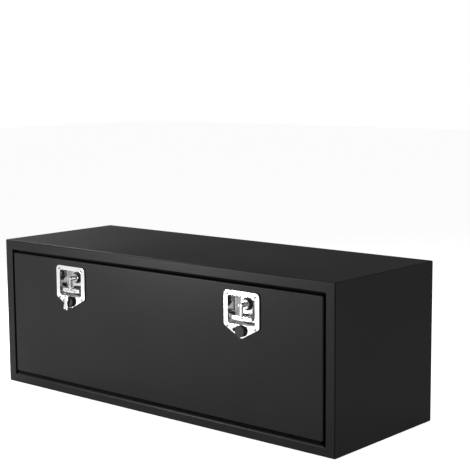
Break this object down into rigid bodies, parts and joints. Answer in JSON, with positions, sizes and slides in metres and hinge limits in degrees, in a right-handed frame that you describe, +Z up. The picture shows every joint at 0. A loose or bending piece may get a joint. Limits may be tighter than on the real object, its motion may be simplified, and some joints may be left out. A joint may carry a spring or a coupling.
{
  "type": "underbody truck tool box",
  "caption": "Long black steel truck box with a drop-down front door and folding T-handle locks.",
  "frame": {"origin": "middle of the case's underside, in its width and its depth", "axes": "+X along the door to the right as seen from in front, +Y into the box from the door towards the back, +Z up"},
  "size_m": [1.219, 0.4532, 0.432],
  "materials": {
    "powder_coat": "satin",
    "polished_steel": "polished",
    "plated_steel": "satin",
    "black_plastic": "satin",
    "black_rubber": "matte",
    "key_metal": "worn"
  },
  "bodies": {
    "case": {"case_wrap": "powder_coat", "weather_seal": "black_rubber", "hinge_case_leaf": "powder_coat", "hinge_pin": "powder_coat", "end_panel_left": "powder_coat", "end_panel_right": "powder_coat", "stay_bracket_left": "powder_coat", "stay_bracket_right": "powder_coat", "stay_stud_left": "plated_steel", "stay_stud_right": "plated_steel"},
    "door": {"door_panel": "powder_coat", "hinge_door_leaf": "powder_coat", "door_bracket_left": "powder_coat", "door_bracket_right": "powder_coat", "door_pivot_left": "plated_steel", "door_pivot_right": "plated_steel", "door_stiffener_left": "powder_coat", "door_stiffener_right": "powder_coat", "latch_plate_left": "polished_steel", "latch_plate_right": "polished_steel", "latch_gasket_left": "black_rubber", "latch_gasket_right": "black_rubber", "latch_rivets_left": "polished_steel", "latch_rivets_right": "polished_steel", "floor_washer_left": "black_plastic", "floor_washer_right": "black_plastic", "spindle_bush_left": "plated_steel", "spindle_bush_right": "plated_steel", "lock_bezel_left": "black_plastic", "lock_bezel_right": "black_plastic", "cover_pivot_left": "black_plastic", "cover_pivot_right": "black_plastic", "lock_housing_left": "plated_steel", "lock_housing_right": "plated_steel", "lock_nut_left": "plated_steel", "lock_nut_right": "plated_steel"},
    "stay_left": {"stay_arm_left": "plated_steel"},
    "hub_left": {"spindle_left": "polished_steel", "handle_pin_left": "polished_steel", "cam_left": "plated_steel", "cam_nut_left": "plated_steel"},
    "handle_left": {"t_handle_left": "polished_steel"},
    "lock_left": {"lock_plug_left": "plated_steel", "lock_tongue_left": "plated_steel", "tongue_screw_left": "plated_steel"},
    "cover_left": {"lock_cover_left": "black_plastic"},
    "stay_right": {"stay_arm_right": "plated_steel"},
    "hub_right": {"spindle_right": "polished_steel", "handle_pin_right": "polished_steel", "cam_right": "plated_steel", "cam_nut_right": "plated_steel"},
    "handle_right": {"t_handle_right": "polished_steel"},
    "lock_right": {"lock_plug_right": "plated_steel", "lock_tongue_right": "plated_steel", "tongue_screw_right": "plated_steel"},
    "cover_right": {"lock_cover_right": "black_plastic"},
    "loop": {"key_loop": "key_metal"},
    "keys": {"key_rear": "key_metal", "key_front": "key_metal"}
  },
  "joints": [
    {"name": "door_hinge", "type": "hinge", "parent": "case", "child": "door", "pos_m": [0, -0.2115, 0.0325], "axis": [1, 0, 0], "range_deg": [0, 90]},
    {"name": "stay_swing_left", "type": "hinge", "parent": "door", "child": "stay_left", "pos_m": [-0.5495, -0.19, 0.19839], "axis": [1, 0, 0], "range_deg": [-45, 0]},
    {"name": "handle_turn_left", "type": "hinge", "parent": "door", "child": "hub_left", "pos_m": [-0.32, -0.216, 0.3432], "axis": [0, 1, 0], "range_deg": [0, 90]},
    {"name": "handle_fold_left", "type": "hinge", "parent": "hub_left", "child": "handle_left", "pos_m": [-0.32, -0.218, 0.3432], "axis": [-1, 0, 0], "range_deg": [0, 90]},
    {"name": "lock_turn_left", "type": "hinge", "parent": "door", "child": "lock_left", "pos_m": [-0.32, -0.216, 0.2773], "axis": [0, 1, 0], "range_deg": [0, 90]},
    {"name": "cover_swing_left", "type": "hinge", "parent": "door", "child": "cover_left", "pos_m": [-0.3385, -0.2253, 0.2803], "axis": [0, 1, 0], "range_deg": [0, 90]},
    {"name": "stay_swing_right", "type": "hinge", "parent": "door", "child": "stay_right", "pos_m": [0.5495, -0.19, 0.19839], "axis": [1, 0, 0], "range_deg": [-45, 0]},
    {"name": "handle_turn_right", "type": "hinge", "parent": "door", "child": "hub_right", "pos_m": [0.32, -0.216, 0.3432], "axis": [0, 1, 0], "range_deg": [0, 90]},
    {"name": "handle_fold_right", "type": "hinge", "parent": "hub_right", "child": "handle_right", "pos_m": [0.32, -0.218, 0.3432], "axis": [-1, 0, 0], "range_deg": [0, 90]},
    {"name": "lock_turn_right", "type": "hinge", "parent": "door", "child": "lock_right", "pos_m": [0.32, -0.216, 0.2773], "axis": [0, 1, 0], "range_deg": [0, 90]},
    {"name": "cover_swing_right", "type": "hinge", "parent": "door", "child": "cover_right", "pos_m": [0.3015, -0.2253, 0.2803], "axis": [0, 1, 0], "range_deg": [0, 90]},
    {"name": "loop_swing", "type": "hinge", "parent": "handle_left", "child": "loop", "pos_m": [-0.3238, -0.2135, 0.3083], "axis": [1, 0, 0], "range_deg": [0, 90]},
    {"name": "keys_swing", "type": "hinge", "parent": "loop", "child": "keys", "pos_m": [-0.3238, -0.2312, 0.2935], "axis": [0, -1, 0], "range_deg": [0, 90]}
  ],
  "couplings": [
    {"joint": "stay_swing_left", "follows": "door_hinge", "ratio": -0.5},
    {"joint": "handle_fold_left", "follows": "handle_turn_left", "ratio": 1},
    {"joint": "stay_swing_right", "follows": "door_hinge", "ratio": -0.5},
    {"joint": "handle_fold_right", "follows": "handle_turn_right", "ratio": 1},
    {"joint": "loop_swing", "follows": "handle_turn_left", "ratio": 1},
    {"joint": "keys_swing", "follows": "handle_turn_left", "ratio": 1}
  ]
}
